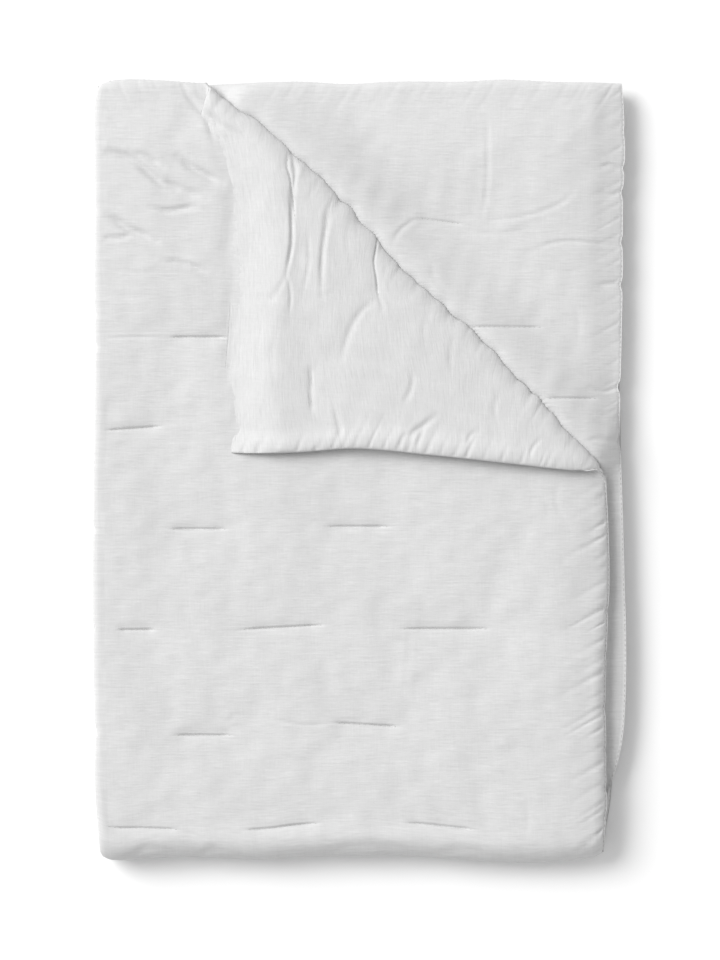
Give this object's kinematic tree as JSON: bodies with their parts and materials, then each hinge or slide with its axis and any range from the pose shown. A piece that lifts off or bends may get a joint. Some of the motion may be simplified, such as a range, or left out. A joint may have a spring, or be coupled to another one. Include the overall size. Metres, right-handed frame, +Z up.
{
  "type": "throw blanket",
  "caption": "Lightly padded linen throw blanket with sparse tack stitches, folded in half lengthwise and crosswise, with its top corner turned back.",
  "frame": {"origin": "middle of the folded throw's footprint, on the surface it rests on", "axes": "+Z up, +Y from the crosswise fold towards the open ends, +X from the lengthwise fold towards the open edges"},
  "size_m": [0.6744, 0.99, 0.0763],
  "materials": {
    "linen": "matte slubby plain weave, pale silver grey"
  },
  "bodies": {
    "root": {"throw": "linen"}
  },
  "joints": []
}
